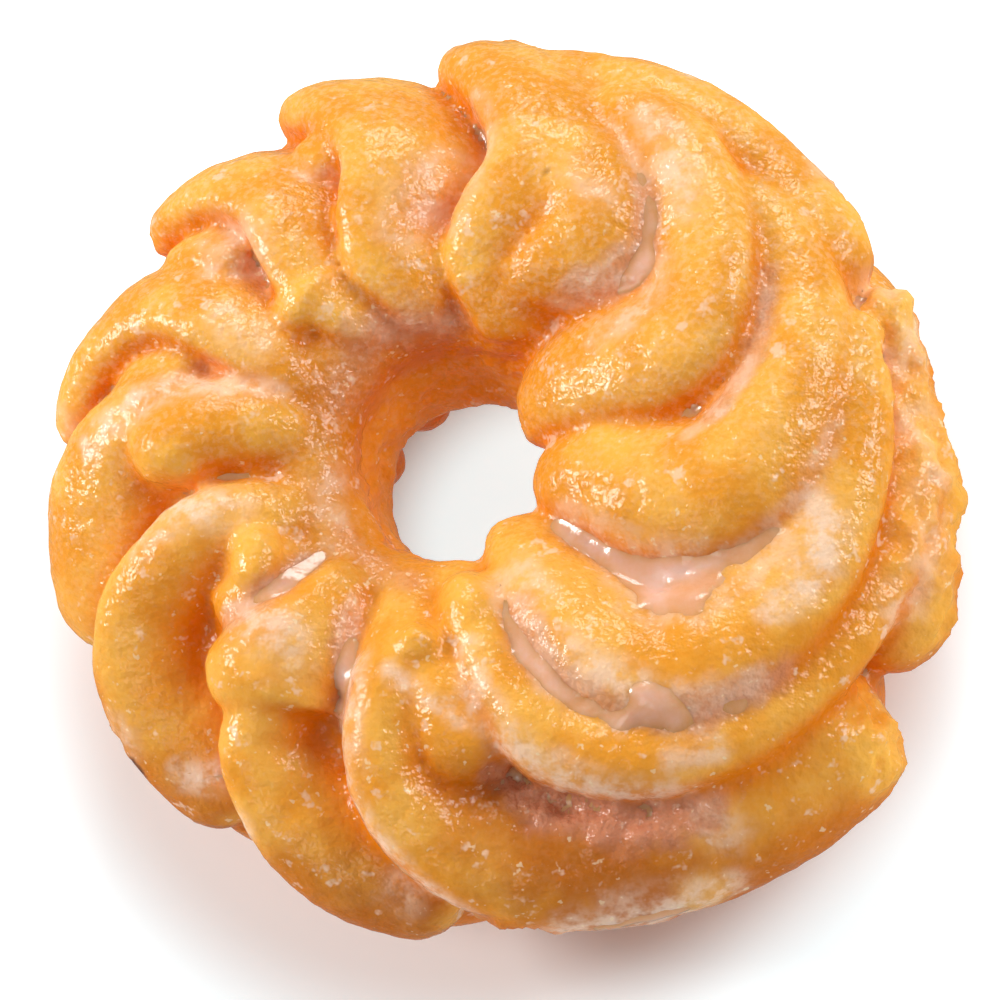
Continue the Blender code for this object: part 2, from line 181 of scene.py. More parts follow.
# Where glaze ran together. A station is (angle round the ring, angle round the section,
# half-width in mm, height in mm): the height lifts the glaze above the level at which a
# smoothed skin of the dough lies in the crevice.
POOLS = {
    "a_to_b": ((62, 63, 0.8, 0.1), (52, 75, 1.0, 0.1), (46, 83, 1.1, 0.2), (42, 92, 1.3, 0.3),
               (42, 101, 1.7, 0.5), (46, 112, 1.6, 0.4), (52, 124, 1.0, 0.1)),
    "b_to_c": ((24, 64, 0.6, 0.0), (12, 76, 0.8, 0.1), (4, 85, 1.2, 0.2), (-4, 98, 1.0, 0)),
    "c_to_d": ((322, 136, 1.6, 0.0), (324, 118, 2.2, 0.1), (322, 102, 3.2, 0.3),
               (323, 91, 4.4, 0.6), (328, 79, 4.2, 0.5), (336, 69, 2.8, 0.2), (346, 62, 1.6, 0),
               (358, 56, 1.2, 0)),
    "d_to_e": ((289, 126, 1.4, 0), (291, 112, 1.8, 0.1), (293, 97, 2.2, 0.25),
               (297, 84, 2.8, 0.3), (301, 74, 2.8, 0.4), (306, 66, 2.6, 1.2), (311, 58, 2.4, 0.3),
               (319, 50, 1.8, 0.2)),
    "g_to_h": ((216, 90, 0.9, 0.1), (219, 104, 1.0, 0.2), (219, 117, 1.0, 0.2),
               (216, 130, 0.9, 0.1)),
    "f_to_g": ((248, 78, 0.8, 0.1), (247, 92, 0.9, 0.2), (243, 107, 0.9, 0.2),
               (238, 122, 0.8, 0.1)),
    "k_rim": ((128, 127, 1.3, 0), (114, 134, 1.7, 0.2), (98, 139, 1.3, 0)),
}

# Thicker white runs of glaze that hang on an edge: the height is their thickness.
RUNS = {
    "f_foot": ((284, 9, 1.0, 0.14), (290, 6, 1.5, 0.2), (296, 4, 1.0, 0.14)),
    "f_edge": ((255, 58, 0.5, 0.1), (258, 45, 0.7, 0.14), (261, 36, 0.7, 0.14),
               (266, 28, 0.5, 0.1)),
    "g_foot": ((224, 26, 0.6, 0.12), (231, 31, 0.8, 0.16), (239, 33, 0.6, 0.12)),
}

# Whitish films of dried glaze on the flutes, which on the lit slopes are also painted highlights:
# (angle round the ring, angle round the section, half-width in mm, strength).
PALE_SUGAR_AND_HIGHLIGHTS = {
    "l_slope": ((101, 106, 2.2, 0.5), (95, 95, 2.8, 0.7), (89, 82, 2.4, 0.5)),
    "l_right": ((63, 84, 1.4, 0.5), (54, 88, 1.4, 0.5)),
    "b_slope": ((58, 57, 1.4, 0.6), (49, 66, 2.2, 0.8), (42, 72, 2.0, 0.7)),
    "a_edge": ((88, 106, 1.2, 0.5), (83, 92, 1.2, 0.5), (82, 78, 1.2, 0.6), (86, 62, 1.2, 0.5)),
    "b_left": ((31, 118, 1.4, 0.6), (30, 104, 1.4, 0.7), (36, 90, 1.2, 0.5)),
    "d_smear": ((348, 62, 1.0, 0.7), (342, 54, 2.0, 1.0), (334, 55, 1.8, 0.9),
                (328, 60, 1.2, 0.8)),
    "d_left": ((300, 126, 1.4, 0.6), (299, 112, 1.6, 0.6)),
    "e_left": ((277, 104, 1.2, 0.7), (279, 92, 1.2, 0.7), (283, 80, 1.0, 0.5)),
    "e_crest": ((303, 52, 1.0, 0.6), (309, 46, 1.2, 0.7)),
    "f_left": ((249, 100, 1.4, 0.7), (251, 86, 1.6, 0.8), (254, 70, 1.4, 0.5)),
    "g_slope": ((222, 94, 2.2, 0.8), (230, 97, 2.4, 0.8), (236, 92, 1.8, 0.6)),
    "h_top": ((195, 76, 2.0, 0.7), (192, 92, 2.2, 0.9), (195, 106, 2.0, 0.7)),
    "i_edge": ((176, 58, 1.4, 0.8), (170, 74, 1.6, 0.9), (164, 89, 1.5, 0.9),
               (163, 104, 1.3, 0.8)),
    "i_ledge": ((159, 91, 0.8, 0.7), (161, 107, 0.9, 0.8), (159, 121, 0.8, 0.6)),
    "j_patch": ((147, 94, 1.8, 0.6), (150, 106, 1.8, 0.6)),
    "a_to_b": ((46, 83, 1.0, 0.8), (42, 92, 1.2, 1.0), (42, 101, 1.3, 1.0), (46, 112, 1.1, 0.8)),
    "k_top": ((136, 66, 2.0, 0.5), (134, 78, 2.6, 0.7), (135, 90, 2.0, 0.5)),
    "k_ledge": ((142, 73, 0.8, 0.7), (136, 86, 0.9, 0.7)),
    "l_ledge": ((118, 69, 0.8, 0.7), (111, 78, 0.9, 0.7)),
    "rim_left": ((190, 140, 1.6, 0.5), (205, 138, 1.6, 0.6)),
    "f_foot": ((281, 10, 2.4, 0.9), (290, 7, 3.0, 1.0), (299, 5, 2.0, 0.7)),
    "f_edge": ((250, 80, 1.2, 0.8), (255, 60, 1.3, 0.9), (260, 46, 1.3, 0.9), (266, 30, 1.3, 0.9),
               (270, 22, 1.2, 0.8)),
    "h_foot": ((226, 27, 1.4, 0.9), (232, 31, 1.8, 1.0), (239, 34, 1.5, 0.9)),
    "e_side": ((276, 99, 1.0, 0.5), (278, 85, 1.4, 0.7), (283, 72, 1.7, 0.9), (289, 59, 1.9, 0.9),
               (296, 48, 1.8, 0.8), (303, 40, 1.4, 0.6)),
    "d_belly": ((299, 97, 1.2, 0.6), (302, 84, 1.6, 0.8), (306, 73, 1.6, 0.7)),
    "c_belly": ((326, 96, 1.8, 0.7), (331, 86, 1.8, 0.7)),
    "nub_edge": ((258, 99, 0.8, 0.8), (263, 95, 0.9, 0.9), (269, 91, 0.9, 0.9),
                 (274, 84, 0.8, 0.7)),
    "ear": ((6, 28, 2.0, 0.5), (350, 22, 2.0, 0.6), (338, 16, 2.0, 0.5)),
}

# Nubs that fried paler and yellower, and the yellower wall of the hole.
NUBS = {
    "a_nub": ((88, 117, 2.2, 1), (91, 118, 1.6, 1)),
    "c_nub": ((354, 128, 2.6, 1), (350, 120, 2.2, 1)),
    "e_nub": ((278, 124, 2.6, 1), (279, 112, 2.2, 1)),
    "f_nub": ((263, 112, 2.4, 0.6), (262, 104, 2.4, 0.6)),
    "hole_wall": ((80, 178, 5, 0.6), (120, 176, 5, 0.7), (160, 176, 5, 0.7), (200, 178, 5, 0.6)),
    "h_nub": ((206, 116, 2.2, 1), (211, 102, 2.2, 1)),
    "i_nub": ((170, 124, 2.2, 1), (172, 116, 2.0, 1)),
    "i_foot": ((184, 82, 2.0, 1), (182, 88, 2.0, 1)),
    "k_nub": ((134, 110, 2.4, 1), (132, 116, 2.0, 1)),
    "l_nub": ((116, 107, 2.0, 1), (114, 112, 2.0, 1)),
    "ear": ((14, 28, 2.6, 1), (353, 2, 2.6, 1)),
}

# Painted shade: crust turned away from this way is painted a deeper orange, as if the light came
# from here.
PAINTED_LIGHT_DIRECTION = (0.0, 0.4, 0.9)

# Painted shadow: crust painted browner low on the flutes, under the overhanging flute e, and
# round the hole.
PAINTED_SHADOWS = {
    "inner_rim": ((112, 140, 3.5, 0.3), (135, 140, 4.5, 0.4), (160, 138, 5.0, 0.5),
                  (185, 138, 5.0, 0.5), (208, 138, 4.5, 0.45), (232, 136, 4.0, 0.4),
                  (252, 134, 3.0, 0.3)),
    "f_belly": ((272, 66, 3.0, 0.5), (277, 50, 5.0, 0.8), (285, 34, 6.0, 1.0),
                (292, 17, 6.0, 1.0), (300, 0, 5.0, 0.8), (312, -6, 4.0, 0.5)),
    "g_foot": ((246, 20, 5.0, 0.7), (258, 12, 5.0, 0.9), (270, 4, 5.0, 0.8)),
    "h_foot": ((205, 14, 5.0, 0.6), (222, 10, 5.0, 0.8), (236, 8, 5.0, 0.8)),
}

# Patches where the dough tore and stayed rough.
TORN = {
    "under_e": ((277, 64, 1.5, 0.8), (281, 53, 2.0, 0.9), (288, 43, 2.2, 0.9),
                (295, 34, 2.0, 0.9), (303, 27, 1.6, 0.6)),
    "ears": ((16, 30, 3.5, 0.7), (4, 14, 3.5, 0.8), (352, 4, 4.0, 0.8), (340, 2, 3.5, 0.6)),
    "hole_wall": ((40, 176, 5.0, 0.4), (90, 172, 5.0, 0.5), (150, 172, 5.0, 0.6),
                  (210, 168, 5.0, 0.6), (270, 168, 5.0, 0.5), (330, 180, 5.0, 0.4)),
}

# Dough under the glaze in the crevices, where it looks pink and brown.
STEEPED = {
    "under_e": ((277, 64, 1.4, 0.8), (281, 53, 1.8, 1.0), (288, 43, 1.9, 1.0),
                (295, 34, 1.8, 1.0), (303, 27, 1.5, 0.8)),
    "d_to_e": ((291, 112, 1.4, 0.5), (297, 84, 1.4, 0.6), (310, 59, 1.8, 0.7),
               (322, 47, 1.6, 0.7)),
    "rim": ((150, 138, 2.0, 0.4), (118, 134, 2.4, 0.6), (95, 140, 2.2, 0.6)),
    "rim_low": ((250, 134, 1.4, 0.4), (232, 136, 1.4, 0.4), (215, 136, 1.4, 0.4)),
    "f_to_g": ((248, 80, 1.2, 0.6), (246, 96, 1.2, 0.7), (240, 114, 1.2, 0.6)),
    "g_to_h": ((218, 88, 1.2, 0.5), (219, 104, 1.4, 0.7), (218, 120, 1.2, 0.6)),
    "a_to_b": ((50, 76, 1.2, 0.5), (42, 94, 1.6, 0.6), (46, 114, 1.6, 0.6)),
    "b_to_c": ((24, 64, 1.0, 0.5), (10, 78, 1.2, 0.6), (0, 93, 1.2, 0.5)),
}

# Small scorched marks.
SCORCHED = {
    "skirt": ((218.6, 18, 0.55, 1.0), (220.4, 16, 0.45, 1.0)),
    "top": ((68, 87, 0.3, 0.5), (68.5, 87, 0.3, 0.5)),
}

# The table's painted glow, as (centre, near, far): near and far are each a distance from the
# centre and the light there. The hole's glow is a painted pool of light that balances the warm
# light that the dough sends down it. The surround rises round the dough's edge, so that only a
# narrow shadow is left, and is cool against the same warm light; the distance makes it neutral
# again.
DARK = (0.0, 0.0, 0.0)
GLOWS = {
    "hole": ((0, 0, 0), (10 * MM, (0.52, 0.76, 0.81)), (22 * MM, DARK)),
    "surround": ((-7 * MM, -4 * MM, 0), (38 * MM, DARK), (54 * MM, (0.42, 0.58, 0.63))),
    "distance": ((0, 0, 0), (60 * MM, DARK), (160 * MM, (0.20, 0.05, 0.0))),
}

# Where the soft boxes stand, in metres, and the middle of the dough, which they point at.
SOFT_BOXES = {"left": (-0.44, 0.06, 0.30), "right": (0.42, 0.13, 0.31),
              "back": (0.06, 0.44, 0.33), "front": (-0.12, -0.30, 0.42)}
DOUGH_MIDDLE = Vector((0, 0, 15 * MM))

# The point that the camera looks at, and how far its view is shifted, as a share of its width.
CAMERA_AIM = Vector((-0.15 * MM, 0.1 * MM, 16 * MM))
CAMERA_SHIFT = -0.012


def hex_colour(code):
    """The linear colour of an sRGB hex code."""
    shares = [int(code[place:place + 2], 16) / 255 for place in (1, 3, 5)]
    return tuple(s / 12.92 if s <= 0.04045 else ((s + 0.055) / 1.055) ** 2.4 for s in shares)


def per_mm(width):
    """The scale that makes a pattern's features that many mm wide."""
    return 1 / (width * MM)


def unit(vectors):
    """The vectors with their lengths made 1."""
    return vectors / np.maximum(np.linalg.norm(vectors, axis=-1, keepdims=True), 1e-12)


def ease(values, low, high):
    """0 below low, 1 above high and a smooth step between."""
    share = np.clip((values - low) / (high - low), 0, 1)
    return share * share * (3 - 2 * share)


# ---------------------------------------------------------------- the ring and its flutes


def on_ring(ring_angle, section_angle):
    """Points on the ellipse that the flutes touch, and the directions straight out of it."""
    ring = np.radians(ring_angle)
    section = np.radians(section_angle)
    half_width = HALF_WIDTH + HALF_WIDTH_SWING * np.cos(ring)
    outwards = np.stack([np.cos(ring), np.sin(ring), np.zeros_like(ring)], axis=-1)
    up = np.array([0.0, 0.0, 1.0])
    distance = RING_RADIUS + half_width * np.cos(section)
    height = MIDDLE_HEIGHT + HALF_HEIGHT * np.sin(section)
    points = outwards * distance[..., None] + up * height[..., None]
    points[..., 0] += RING_CENTRE[0]
    points[..., 1] += RING_CENTRE[1]
    normals = outwards * (np.cos(section) / half_width)[..., None]
    normals = normals + up * (np.sin(section) / HALF_HEIGHT)[..., None]
    return points, unit(normals)


def ring_angles(points):
    """The two angles, in degrees, of points in or on the ring."""
    across = points[:, 0] - RING_CENTRE[0]
    along = points[:, 1] - RING_CENTRE[1]
    ring = np.arctan2(along, across)
    half_width = HALF_WIDTH + HALF_WIDTH_SWING * np.cos(ring)
    out = (np.hypot(across, along) - RING_RADIUS) / half_width
    up = (points[:, 2] - MIDDLE_HEIGHT) / HALF_HEIGHT
    return np.degrees(ring), np.degrees(np.arctan2(up, out))


def smooth_through(stations, count):
    """Values read from a Catmull-Rom curve through the stations, closer together at its ends."""
    stations = np.array(stations, float)
    padded = np.vstack([2 * stations[0] - stations[1], stations, 2 * stations[-1] - stations[-2]])
    share = (1 - np.cos(np.linspace(0, math.pi, count))) / 2
    place = share * (len(stations) - 1)
    index = np.minimum(place.astype(int), len(stations) - 2)
    t = (place - index)[:, None]
    before, here, after, beyond = (padded[index + step] for step in range(4))
    return 0.5 * (2 * here + (after - before) * t
                  + (2 * before - 5 * here + 4 * after - beyond) * t ** 2
                  + (3 * here - before - 3 * after + beyond) * t ** 3)


def flute_mesh(name, flute):
    """A rib with elliptical sections and round ends, whose crest follows its stations."""
    values = smooth_through(flute.stations, LENGTH_POINTS)
    crest, normal = on_ring(values[:, 0], values[:, 1])
    along = unit(np.gradient(crest, axis=0))
    side = unit(np.cross(along, normal))
    normal = np.cross(side, along)
    travelled = np.concatenate([[0], np.cumsum(np.linalg.norm(np.diff(crest, axis=0), axis=1))])
    wide = values[:, 2] * MM
    thick = np.full_like(wide, flute.thick * MM)
    to_end = np.minimum(travelled, travelled[-1] - travelled)
    roundness = np.sqrt(1 - np.clip(1 - to_end / wide, 0, 1) ** 2)
    wide = wide * roundness
    thick = thick * roundness
    lean = side * flute.lean
    centre = crest + normal * (values[:, 3:4] - flute.thick) * MM - lean * flute.thick * MM
    turn = np.linspace(0, 2 * math.pi, SECTION_POINTS, endpoint=False)
    rings = (centre[:, None] + side[:, None] * (wide[:, None] * np.cos(turn))[..., None]
             + (normal + lean)[:, None] * (thick[:, None] * np.sin(turn))[..., None])[1:-1]
    vertices = rings.reshape(-1, 3).tolist() + [centre[0].tolist(), centre[-1].tolist()]
    count = len(rings)
    faces = []
    for row in range(count - 1):
        for column in range(SECTION_POINTS):
            following = (column + 1) % SECTION_POINTS
            here, beyond = row * SECTION_POINTS, (row + 1) * SECTION_POINTS
            faces.append((here + column, here + following, beyond + following, beyond + column))
    start = count * SECTION_POINTS
    for column in range(SECTION_POINTS):
        following = (column + 1) % SECTION_POINTS
        faces.append((start, following, column))
        last = (count - 1) * SECTION_POINTS
        faces.append((start + 1, last + column, last + following))
    mesh = bpy.data.meshes.new(name)
    mesh.from_pydata(vertices, [], faces)
    mesh.update()
    return mesh


def lower_flutes():
    """The flutes of the outside and the underside, which the twist carries on round the ring."""
    flutes = {}
    for number, rise in enumerate(UNDER_RISES):
        start = UNDER_STEP * number + UNDER_START
        flutes[f"under_{number}"] = Flute(0.1, 6.0, (
            (start, 8, 4.0, rise - 1), (start + 6, -14, 5.8, rise),
            (start + 13, -40, 6.2, rise / 2), (start + 19, -72, 6.0, 0),
            (start + 23, -105, 5.6, 0), (start + 25, -140, 4.2, -0.4),
            (start + 26, -166, 3.2, -1.6)))
    return flutes


def core_mesh():
    """The plain ring under the flutes: a torus pressed to the core's section."""
    bpy.ops.mesh.primitive_torus_add(major_segments=96, minor_segments=32,
                                     major_radius=CORE_RADIUS, minor_radius=CORE_HALF_WIDTH)
    core = bpy.context.object
    mesh = core.data
    for vertex in mesh.vertices:
        x, y, z = vertex.co
        reach = math.hypot(x, y)
        swing = 1 + HALF_WIDTH_SWING / CORE_HALF_WIDTH * x / reach
        scaled = CORE_RADIUS + (reach - CORE_RADIUS) * swing
        vertex.co.x = x / reach * scaled + RING_CENTRE[0]
        vertex.co.y = y / reach * scaled + RING_CENTRE[1]
        vertex.co.z = z * CORE_HALF_HEIGHT / CORE_HALF_WIDTH + MIDDLE_HEIGHT
    bpy.data.objects.remove(core)
    return mesh


def join_meshes(name, meshes):
    """One mesh with the vertices and faces of all the meshes."""
    joined = bmesh.new()
    for mesh in meshes:
        joined.from_mesh(mesh)
    result = bpy.data.meshes.new(name)
    joined.to_mesh(result)
    joined.free()
    return result


def one_skin(voxel):
    """All flutes grown together into one closed skin."""
    meshes = [core_mesh()]
    for name, flute in {**FLUTES, **lower_flutes()}.items():
        meshes.append(flute_mesh(name, flute))
    lump = bpy.data.objects.new("piped_flutes", join_meshes("piped_flutes", meshes))
    bpy.context.scene.collection.objects.link(lump)
    remesh = lump.modifiers.new("one skin", "REMESH")
    remesh.mode = "VOXEL"
    remesh.voxel_size = voxel
    remesh.use_smooth_shade = True
    smooth = lump.modifiers.new("soften", "SMOOTH")
    smooth.iterations = 4
    evaluated = lump.evaluated_get(bpy.context.evaluated_depsgraph_get())
    skin = bpy.data.meshes.new_from_object(evaluated)
    skin.name = "dough"
    bpy.data.objects.remove(lump)
    return skin


# ---------------------------------------------------------------- measuring and moving a skin


def read(items, name, width, kind=float):
    """One row for each vertex, edge or face, with its values of that name."""
    values = np.empty(len(items) * width, kind)
    items.foreach_get(name, values)
    return values.reshape(-1, width)


def read_skin(mesh):
    """The skin's points, the directions straight out of it there, and its edges."""
    return (read(mesh.vertices, "co", 3), read(mesh.vertices, "normal", 3),
            read(mesh.edges, "vertices", 2, int))


def write_points(mesh, points):
    """Moves the mesh's vertices to the points."""
    mesh.vertices.foreach_set("co", np.ascontiguousarray(points, np.float32).ravel())
    mesh.update()


def write_attribute(mesh, name, values):
    """Stores one number for each vertex, for a material to read."""
    layer = mesh.attributes.new(name, "FLOAT", "POINT")
    layer.data.foreach_set("value", np.ascontiguousarray(values, np.float32))


def spread(values, edges, rounds):
    """Values averaged with their neighbours along the mesh's edges, again and again."""
    count = len(values)
    ends = np.concatenate([edges[:, 0], edges[:, 1]])
    others = np.concatenate([edges[:, 1], edges[:, 0]])
    shares = np.maximum(np.bincount(ends, minlength=count), 1)
    columns = values.reshape(count, -1).T.copy()
    for _ in range(rounds):
        for column in columns:
            column[:] = 0.5 * column + 0.5 * np.bincount(ends, column[others], count) / shares
    return columns.T.reshape(values.shape)


def near_paths(points, paths):
    """How far each point lies from the nearest path, as a share of the path's half-width
    there, and the path's last value there. Both are measured on the ellipse, so that places
    down in a crevice count with the edges above them."""
    shadows = on_ring(*ring_angles(points))[0]
    best = np.full(len(points), 1e9)
    last = np.zeros(len(points))
    for stations in paths.values():
        path = smooth_through(stations, 8 * len(stations))
        places = on_ring(path[:, 0], path[:, 1])[0]
        for place, (half_width, value) in zip(places, path[:, 2:]):
            share = np.linalg.norm(shadows - place, axis=1) / (half_width * MM)
            closer = share < best
            best[closer] = share[closer]
            last[closer] = value
    return best, last


def patch(points, paths, ragged, soft=0.45):
    """Strength of patches along the paths: full in the middle, with soft edges that ragged
    pushes in and out."""
    share, strength = near_paths(points, paths)
    return strength * (1 - ease(share + ragged, 1 - soft, 1 + soft))


def noise_at(points, width, octaves=3, shift=0.0):
    """Fractal noise between about -1 and 1 whose features are that wide, in mm. Another shift
    gives another pattern."""
    values = np.empty(len(points))
    for index, (x, y, z) in enumerate(points * per_mm(width) + shift):
        values[index] = noise.fractal((x, y, z), 1.0, 2.0, octaves)
    return values


# ---------------------------------------------------------------- materials


def add_node(tree, kind, inputs=None, **settings):
    """Adds one node, makes its settings, and fills its inputs with values or links."""
    made = tree.nodes.new(kind)
    for name, value in settings.items():
        setattr(made, name, value)
    for name, value in (inputs or {}).items():
        if isinstance(value, bpy.types.NodeSocket):
            tree.links.new(value, made.inputs[name])
        else:
            made.inputs[name].default_value = value
    return made


def new_material(name):
    """A material with an empty node tree."""
    material = bpy.data.materials.new(name)
    material.use_nodes = True
    material.node_tree.nodes.clear()
    return material


def fried_choux_crust(colours):
    """Choux dough, deep-fried: a golden, finely blistered crust with painted shade, deeper orange
    in the crevices and on the sides turned away from the light, and painted shadow, browner low
    down, under overhangs and deepest in; under a thin wet coat of sugar glaze that has set here
    and there to whitish skins and specks, which on the lit slopes and the far top are partly
    painted highlights and sheen. Where glaze soaked in, the dough looks pink and brown."""
    material = new_material("fried_choux_crust")
    tree = material.node_tree
    place = add_node(tree, "ShaderNodeTexCoord").outputs["Object"]
    marks = {name: add_node(tree, "ShaderNodeAttribute", attribute_name=name).outputs["Fac"]
             for name in ("paler", "hazy", "sheltered", "browned", "steeped", "film", "nub",
                          "scorched")}

    def clouds(width, detail, roughness=0.5):
        return add_node(tree, "ShaderNodeTexNoise", {
            "Vector": place, "Scale": per_mm(width), "Detail": detail,
            "Roughness": roughness}).outputs["Fac"]

    def between(value, low, high):
        return add_node(tree, "ShaderNodeMapRange", {
            "Value": value, "From Min": low, "From Max": high},
            interpolation_type="SMOOTHSTEP").outputs["Result"]

    def reckoned(operation, *values):
        return add_node(tree, "ShaderNodeMath", dict(enumerate(values)),
                        operation=operation).outputs[0]

    def covered(under, share, colour):
        return add_node(tree, "ShaderNodeMix", {"Factor": share, "A": under, "B": (*colour, 1)},
                        data_type="RGBA").outputs["Result"]

    # The crust: light and gold in broad clouds, with a fine mottle of 0.65 mm, painted shade in
    # deeper orange in the crevices and on the sides turned away, painted shadow browner low down,
    # yellower on nubs, pink and brown where glaze soaked in.
    colour = covered((*colours.crust_gold, 1), marks["paler"], colours.crust_light)
    grain = clouds(0.65, 2.0, 0.6)
    mottle = reckoned("MULTIPLY", between(grain, 0.5, 0.34), 0.16)
    colour = covered(colour, mottle, colours.crust_mottle)
    # Painted shade: deeper orange in the crevices and on the sides turned away from the light.
    colour = covered(colour, marks["sheltered"], colours.painted_shade_crust)
    # Painted shadow: browner low down, under overhangs and deepest in the crevices.
    colour = covered(colour, reckoned("MULTIPLY", marks["browned"], 0.8), colours.painted_shadow_crust)
    colour = covered(colour, reckoned("MULTIPLY", marks["nub"], 0.5), colours.crust_nub)
    colour = covered(colour, marks["steeped"], colours.steeped)

    # Dried glaze: soft cloudy films, which on the lit slopes are painted highlights, a fine haze
    # that is a painted sheen on the far top, and smears of 1 to 2 mm all over.
    cloudy = between(clouds(2.2, 3.0, 0.65), 0.36, 0.62)
    pale_sugar_and_highlights = reckoned("MULTIPLY", reckoned("MULTIPLY_ADD", cloudy, 0.62, 0.16), marks["film"])
    bloom_and_sheen = reckoned("MULTIPLY", between(grain, 0.42, 0.68), marks["hazy"])
    smears = reckoned("MULTIPLY", between(clouds(2.8, 3.0, 0.7), 0.60, 0.70), 0.5)
    whitish_marks_and_highlights = reckoned("MAXIMUM", reckoned("MAXIMUM", pale_sugar_and_highlights, bloom_and_sheen), smears)
    colour = covered(colour, whitish_marks_and_highlights, colours.whitish_glaze_and_highlight)

    # Sugar specks: uneven soft blobs of 0.2 to 0.6 mm where fine clouds are densest.
    specks = between(clouds(1.1, 2.0, 0.6), 0.66, 0.73)
    colour = covered(colour, reckoned("MULTIPLY", specks, 0.5), colours.sugar_speck)
    colour = covered(colour, marks["scorched"], colours.scorched)

    # Blisters about 1 mm wide, and wrinkles of about 0.4 mm; steeped dough is craggier.
    wrinkles = reckoned("MULTIPLY", clouds(0.45, 1.0), 0.45)
    blisters = reckoned("ADD", clouds(1.3, 1.0), wrinkles)
    crags = reckoned("MULTIPLY_ADD", marks["steeped"], 1.0, 1.0)
    bump = add_node(tree, "ShaderNodeBump", {
        "Height": reckoned("MULTIPLY", blisters, crags), "Strength": 1.0,
        "Distance": 0.24 * MM}).outputs["Normal"]

    # The dough itself is dull and lets light a few mm in; the wet coat gives all its shine.
    rough = add_node(tree, "ShaderNodeMapRange", {"Value": whitish_marks_and_highlights, "To Min": 0.38, "To Max": 0.6})
    shader = add_node(tree, "ShaderNodeBsdfPrincipled", {
        "Base Color": colour, "Roughness": rough.outputs["Result"], "IOR": 1.45,
        "Specular IOR Level": 0.0, "Subsurface Weight": 0.45,
        "Subsurface Radius": (1.0, 0.5, 0.22), "Subsurface Scale": 2.2 * MM,
        "Coat Weight": 0.65, "Coat Roughness": 0.1, "Coat IOR": 1.5, "Normal": bump,
        "Coat Normal": bump}, subsurface_method="BURLEY")
    add_node(tree, "ShaderNodeOutputMaterial", {"Surface": shader.outputs["BSDF"]})
    return material


def set_sugar_glaze(colours):
    """Water icing that ran together and set: milky where it is deep, the colour of the dough
    where it is thin, gently rippled, with a wet shine."""
    material = new_material("set_sugar_glaze")
    tree = material.node_tree
    place = add_node(tree, "ShaderNodeTexCoord").outputs["Object"]
    depth = add_node(tree, "ShaderNodeAttribute", attribute_name="depth").outputs["Fac"]
    cloud = add_node(tree, "ShaderNodeTexNoise", {
        "Vector": place, "Scale": per_mm(2.0), "Detail": 5.0, "Roughness": 0.6})
    uneven = add_node(tree, "ShaderNodeMath", {0: cloud.outputs["Fac"], 1: 0.9, 2: -0.5},
                      operation="MULTIPLY_ADD")
    milky = add_node(tree, "ShaderNodeMath", {0: depth, 1: uneven.outputs[0]}, operation="ADD")
    share = add_node(tree, "ShaderNodeMapRange", {
        "Value": milky.outputs[0], "From Min": -0.2, "From Max": 1.1})
    colour = add_node(tree, "ShaderNodeMix", {
        "Factor": share.outputs["Result"], "A": (*colours.glaze_thin, 1),
        "B": (*colours.glaze_thick, 1)}, data_type="RGBA")
    ripple = add_node(tree, "ShaderNodeTexNoise", {
        "Vector": place, "Scale": per_mm(1.2), "Detail": 4.0})
    bump = add_node(tree, "ShaderNodeBump", {
        "Height": ripple.outputs["Fac"], "Strength": 0.7,
        "Distance": 0.12 * MM}).outputs["Normal"]
    shader = add_node(tree, "ShaderNodeBsdfPrincipled", {
        "Base Color": colour.outputs["Result"], "Roughness": 0.25, "IOR": 1.45,
        "Subsurface Weight": 0.6, "Subsurface Radius": (1.0, 0.55, 0.4),
        "Subsurface Scale": 1.5 * MM, "Coat Weight": 1.0, "Coat Roughness": 0.06,
        "Coat IOR": 1.5, "Normal": bump, "Coat Normal": bump})
    add_node(tree, "ShaderNodeOutputMaterial", {"Surface": shader.outputs["BSDF"]})
    return material


def glowing_table(colours):
    """A matt white acrylic sheet that glows with painted light, so that it stays white in the hole
    and beside the dough, with only a narrow shadow by its edge."""
    material = new_material("white_sheet_lit_from_below")
    tree = material.node_tree
    place = add_node(tree, "ShaderNodeTexCoord").outputs["Object"]
    light = (0, 0, 0, 1)
    for centre, (near, near_light), (far, far_light) in GLOWS.values():
        away = add_node(tree, "ShaderNodeVectorMath", {0: place, 1: centre}, operation="DISTANCE")
        share = add_node(tree, "ShaderNodeMapRange", {
            "Value": away.outputs["Value"], "From Min": near, "From Max": far},
            interpolation_type="SMOOTHSTEP")
        glow = add_node(tree, "ShaderNodeMix", {
            "Factor": share.outputs["Result"], "A": (*near_light, 1), "B": (*far_light, 1)},
            data_type="RGBA")
        light = add_node(tree, "ShaderNodeMix", {
            "Factor": 1.0, "A": light, "B": glow.outputs["Result"]},
            data_type="RGBA", blend_type="ADD").outputs["Result"]
    shader = add_node(tree, "ShaderNodeBsdfPrincipled", {
        "Base Color": (*colours.table, 1), "Roughness": 0.9, "Specular IOR Level": 0.2,
        "Emission Color": light, "Emission Strength": 1.0})
    add_node(tree, "ShaderNodeOutputMaterial", {"Surface": shader.outputs["BSDF"]})
    return material


# ---------------------------------------------------------------- what a user can change


def length(label, use, metres, **limits):
    """A length that a user can change."""
    return FloatProperty(name=label, description=use, default=metres, precision=5,
                         unit="LENGTH", subtype="DISTANCE", **limits)


def angle(label, use, degrees):
    """An angle that a user can change."""
    return FloatProperty(name=label, description=use, default=math.radians(degrees),
                         unit="ROTATION", subtype="ANGLE")


def power(where, watts):
    """The power of a soft box, which a user can change."""
    return FloatProperty(name=f"Power of the soft box {where}", unit="POWER", default=watts,
                         description=f"How bright the soft box {where} is, in watts")


